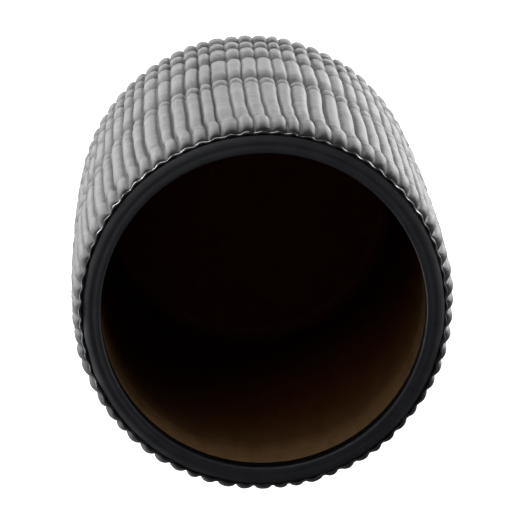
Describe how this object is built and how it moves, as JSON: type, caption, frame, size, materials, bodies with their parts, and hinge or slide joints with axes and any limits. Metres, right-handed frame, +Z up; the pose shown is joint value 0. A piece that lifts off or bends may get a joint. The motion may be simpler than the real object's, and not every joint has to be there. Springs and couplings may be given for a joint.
{
  "type": "vase",
  "caption": "Heavy straight-sided vase with a wide open mouth, a smooth rim, an upright-ribbed outer skin cinched into bands, and a glazed inside.",
  "frame": {"origin": "centre of the foot, on the surface that the vase stands on", "axes": "+Z up along the vase's axis; -Y is the side where the ribs are gathered a little closer"},
  "size_m": [0.1483, 0.1484, 0.183],
  "materials": {
    "smooth_stoneware": "satin black stoneware, smooth to the touch",
    "pleated_stoneware": "matt charcoal stoneware with a cloth-like surface of puffed ribs",
    "bare_stoneware": "unglazed fired clay, rough",
    "brown_glaze": "glossy dark brown glaze"
  },
  "bodies": {
    "root": {"rim_coil": "smooth_stoneware", "clay_wall": "bare_stoneware", "floor_slab": "bare_stoneware", "foot_ring": "bare_stoneware", "glaze_lining": "brown_glaze", "pleated_skin": "pleated_stoneware"}
  },
  "joints": []
}
